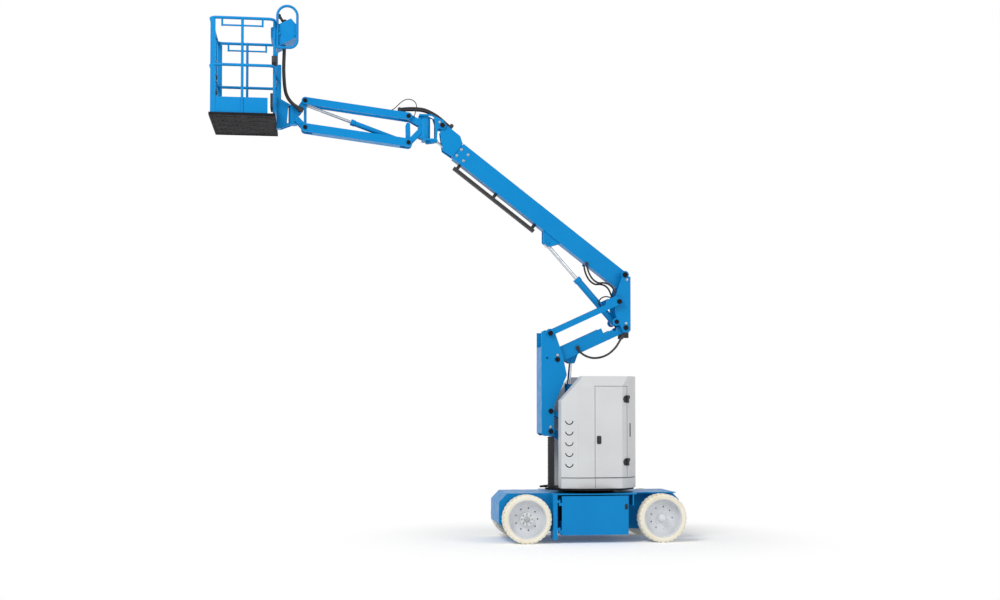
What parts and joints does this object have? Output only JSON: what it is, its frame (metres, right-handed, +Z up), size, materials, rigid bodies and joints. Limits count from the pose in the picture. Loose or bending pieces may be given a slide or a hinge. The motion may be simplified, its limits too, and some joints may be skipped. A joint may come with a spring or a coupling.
{
  "type": "articulating boom lift",
  "caption": "Narrow electric articulating boom lift: slewing turret, two-stage riser, telescopic boom, rotating jib and railed work platform, shown raised.",
  "frame": {"origin": "on the ground under the slewing axis, midway between the axles", "axes": "+Z up, +X towards the steered end, -X towards the platform, -Y the near side of the picture"},
  "size_m": [5.5417, 1.19, 6.183],
  "materials": {
    "blue_paint": "gloss",
    "grey_cover": "satin",
    "grey_rim": "satin",
    "black_metal": "matte",
    "black_plastic": "matte",
    "floor_metal": "satin",
    "rod_steel": "polished",
    "tyre_cream": "matte"
  },
  "bodies": {
    "chassis": {"chassis_frame": "blue_paint", "drive_hubs": "black_metal", "slew_ring": "black_metal"},
    "tray_near": {"tray_near": "blue_paint"},
    "tray_far": {"tray_far": "blue_paint"},
    "knuckle_near": {"knuckle_near": "black_metal"},
    "knuckle_far": {"knuckle_far": "black_metal"},
    "turret": {"turret_frame": "blue_paint", "cover_near": "grey_cover", "cover_far": "grey_cover", "power_unit": "black_metal", "hydraulic_tank": "black_metal", "hose_guard": "black_plastic"},
    "door_near": {"door_near": "grey_cover"},
    "door_far": {"door_far": "grey_cover"},
    "lower_arm": {"lower_arm": "blue_paint"},
    "lower_link": {"lower_link": "blue_paint"},
    "mid_pivot": {"mid_pivot": "blue_paint"},
    "upper_arm": {"upper_arm": "blue_paint"},
    "upper_link": {"upper_link": "blue_paint"},
    "upper_pivot": {"upper_pivot": "blue_paint", "hose_clamps": "black_plastic"},
    "riser_barrel": {"riser_barrel": "blue_paint"},
    "riser_rod": {"riser_rod": "rod_steel"},
    "boom": {"boom": "blue_paint", "hose_tray": "black_plastic"},
    "boom_extension": {"boom_extension": "blue_paint"},
    "lift_barrel": {"lift_barrel": "blue_paint"},
    "lift_rod": {"lift_rod": "rod_steel"},
    "level_rod": {"level_rod": "rod_steel"},
    "level_bracket": {"level_bracket": "blue_paint"},
    "jib_base": {"jib_base": "blue_paint"},
    "jib_upper_arm": {"jib_upper_arm": "blue_paint"},
    "jib_lower_arm": {"jib_lower_arm": "blue_paint"},
    "jib_head": {"jib_head": "blue_paint"},
    "jib_barrel": {"jib_barrel": "blue_paint"},
    "jib_rod": {"jib_rod": "rod_steel"},
    "platform": {"platform_mount": "blue_paint", "platform_frame": "blue_paint", "platform_floor": "floor_metal", "control_box": "blue_paint", "paper_box": "black_plastic"},
    "gate": {"gate": "blue_paint"},
    "wheel_drive_near": {"wheel_drive_near": "grey_rim", "tyre_drive_near": "tyre_cream"},
    "wheel_drive_far": {"wheel_drive_far": "grey_rim", "tyre_drive_far": "tyre_cream"},
    "wheel_steer_near": {"wheel_steer_near": "grey_rim", "tyre_steer_near": "tyre_cream"},
    "wheel_steer_far": {"wheel_steer_far": "grey_rim", "tyre_steer_far": "tyre_cream"}
  },
  "joints": [
    {"name": "slew", "type": "hinge", "parent": "chassis", "child": "turret", "pos_m": [0, 0, 0.62], "axis": [0, 0, 1], "range_deg": [-179.5, 179.5]},
    {"name": "riser", "type": "hinge", "parent": "turret", "child": "lower_arm", "pos_m": [0.377, 0, 0.906], "axis": [0, 1, 0], "range_deg": [-37.7, 42]},
    {"name": "lower_link_pivot", "type": "hinge", "parent": "turret", "child": "lower_link", "pos_m": [0.377, 0, 1.146], "axis": [0, 1, 0], "range_deg": [-38.2, 42.5]},
    {"name": "mid_pivot_level", "type": "hinge", "parent": "lower_arm", "child": "mid_pivot", "pos_m": [-0.45883, 0, 1.29044], "axis": [0, 1, 0], "range_deg": [-42.5, 38.2]},
    {"name": "upper_arm_pivot", "type": "hinge", "parent": "mid_pivot", "child": "upper_arm", "pos_m": [-0.37883, 0, 2.14444], "axis": [0, 1, 0], "range_deg": [-42.5, 38.2]},
    {"name": "upper_link_pivot", "type": "hinge", "parent": "mid_pivot", "child": "upper_link", "pos_m": [-0.46683, 0, 2.45444], "axis": [0, 1, 0], "range_deg": [-42.5, 38.2]},
    {"name": "upper_pivot_level", "type": "hinge", "parent": "upper_arm", "child": "upper_pivot", "pos_m": [0.457, 0, 2.52888], "axis": [0, 1, 0], "range_deg": [-38.2, 42.5]},
    {"name": "riser_barrel_pivot", "type": "hinge", "parent": "lower_arm", "child": "riser_barrel", "pos_m": [-0.26488, 0, 1.29809], "axis": [0, 1, 0], "range_deg": [-42.5, 38.2]},
    {"name": "riser_rod_slide", "type": "slide", "parent": "riser_barrel", "child": "riser_rod", "axis": [0.095, 0, 0.9955], "range_m": [-0.2403, 0.2672]},
    {"name": "boom_lift", "type": "hinge", "parent": "upper_pivot", "child": "boom", "pos_m": [0.448, 0, 3.16387], "axis": [0, 1, 0], "range_deg": [-40, 37.5]},
    {"name": "lift_barrel_pivot", "type": "hinge", "parent": "upper_pivot", "child": "lift_barrel", "pos_m": [0.345, 0, 2.59987], "axis": [0, 1, 0], "range_deg": [-29.97, 28.13]},
    {"name": "lift_rod_slide", "type": "slide", "parent": "lift_barrel", "child": "lift_rod", "axis": [-0.6608, 0, 0.7506], "range_m": [-0.309, 0.29]},
    {"name": "boom_extend", "type": "slide", "parent": "boom", "child": "boom_extension", "axis": [-0.7934, 0, 0.6088], "range_m": [0, 1.219]},
    {"name": "level_rod_slide", "type": "slide", "parent": "boom_extension", "child": "level_rod", "axis": [-0.7934, 0, 0.6088], "range_m": [-0.1164, 0.1239]},
    {"name": "jib_level", "type": "hinge", "parent": "boom_extension", "child": "level_bracket", "pos_m": [-1.7448, 0, 4.9221], "axis": [0, 1, 0], "range_deg": [-38, 40.5]},
    {"name": "jib_rotate", "type": "hinge", "parent": "level_bracket", "child": "jib_base", "pos_m": [-1.9508, 0, 4.8971], "axis": [0, 0, 1], "range_deg": [-90, 90]},
    {"name": "jib_lift", "type": "hinge", "parent": "jib_base", "child": "jib_upper_arm", "pos_m": [-2.1468, 0, 5.0241], "axis": [0, 1, 0], "range_deg": [-76, 63]},
    {"name": "jib_lower_pivot", "type": "hinge", "parent": "jib_base", "child": "jib_lower_arm", "pos_m": [-2.1468, 0, 4.7091], "axis": [0, 1, 0], "range_deg": [-76.5, 63.5]},
    {"name": "jib_head_level", "type": "hinge", "parent": "jib_upper_arm", "child": "jib_head", "pos_m": [-3.35969, 0, 5.17302], "axis": [0, 1, 0], "range_deg": [-63.5, 76.5]},
    {"name": "jib_barrel_pivot", "type": "hinge", "parent": "jib_base", "child": "jib_barrel", "pos_m": [-2.1468, 0, 4.7091], "axis": [0, 1, 0], "range_deg": [-74.93, 62.2]},
    {"name": "jib_rod_slide", "type": "slide", "parent": "jib_barrel", "child": "jib_rod", "axis": [-0.943, 0, 0.3327], "range_m": [-0.326, 0.2711]},
    {"name": "platform_rotate", "type": "hinge", "parent": "jib_head", "child": "platform", "pos_m": [-3.50469, 0, 5.00802], "axis": [0, 0, 1], "range_deg": [-90, 90]},
    {"name": "gate_swing", "type": "hinge", "parent": "platform", "child": "gate", "pos_m": [-4.41869, -0.27, 5.38302], "axis": [0, 0, -1], "range_deg": [0, 90]},
    {"name": "tray_near_swing", "type": "hinge", "parent": "chassis", "child": "tray_near", "pos_m": [-0.422, -0.54, 0.3], "axis": [0, 0, -1], "range_deg": [0, 95]},
    {"name": "tray_far_swing", "type": "hinge", "parent": "chassis", "child": "tray_far", "pos_m": [-0.422, 0.54, 0.3], "axis": [0, 0, 1], "range_deg": [0, 95]},
    {"name": "door_near_swing", "type": "hinge", "parent": "turret", "child": "door_near", "pos_m": [0.408, -0.46, 1.3], "axis": [0, 0, 1], "range_deg": [0, 100]},
    {"name": "door_far_swing", "type": "hinge", "parent": "turret", "child": "door_far", "pos_m": [0.408, 0.46, 1.3], "axis": [0, 0, -1], "range_deg": [0, 100]},
    {"name": "steer", "type": "hinge", "parent": "chassis", "child": "knuckle_near", "pos_m": [0.8, -0.37, 0.2825], "axis": [0, 0, 1], "range_deg": [-35, 35]},
    {"name": "steer_far", "type": "hinge", "parent": "chassis", "child": "knuckle_far", "pos_m": [0.8, 0.37, 0.2825], "axis": [0, 0, 1], "range_deg": [-35.5, 35.5]},
    {"name": "wheel_drive_near_spin", "type": "hinge", "parent": "chassis", "child": "wheel_drive_near", "pos_m": [-0.8, -0.5, 0.2825], "axis": [0, 1, 0], "continuous": true},
    {"name": "wheel_drive_far_spin", "type": "hinge", "parent": "chassis", "child": "wheel_drive_far", "pos_m": [-0.8, 0.5, 0.2825], "axis": [0, 1, 0], "continuous": true},
    {"name": "wheel_steer_near_spin", "type": "hinge", "parent": "knuckle_near", "child": "wheel_steer_near", "pos_m": [0.8, -0.5, 0.2825], "axis": [0, 1, 0], "continuous": true},
    {"name": "wheel_steer_far_spin", "type": "hinge", "parent": "knuckle_far", "child": "wheel_steer_far", "pos_m": [0.8, 0.5, 0.2825], "axis": [0, 1, 0], "continuous": true}
  ],
  "couplings": [
    {"joint": "lower_link_pivot", "follows": "riser", "ratio": 1},
    {"joint": "mid_pivot_level", "follows": "riser", "ratio": -1},
    {"joint": "upper_arm_pivot", "follows": "riser", "ratio": -1},
    {"joint": "upper_link_pivot", "follows": "riser", "ratio": -1},
    {"joint": "upper_pivot_level", "follows": "riser", "ratio": 1},
    {"joint": "riser_barrel_pivot", "follows": "riser", "ratio": -1},
    {"joint": "riser_rod_slide", "follows": "riser", "m_per_rad": 0.35764},
    {"joint": "lift_barrel_pivot", "follows": "boom_lift", "ratio": 0.73679},
    {"joint": "lift_rod_slide", "follows": "boom_lift", "m_per_rad": 0.43551},
    {"joint": "level_rod_slide", "follows": "boom_lift", "m_per_rad": -0.17027},
    {"joint": "jib_level", "follows": "boom_lift", "ratio": -1},
    {"joint": "jib_lower_pivot", "follows": "jib_lift", "ratio": 1},
    {"joint": "jib_head_level", "follows": "jib_lift", "ratio": -1},
    {"joint": "jib_barrel_pivot", "follows": "jib_lift", "ratio": 0.9793},
    {"joint": "jib_rod_slide", "follows": "jib_lift", "m_per_rad": 0.24199},
    {"joint": "steer_far", "follows": "steer", "ratio": 1}
  ]
}
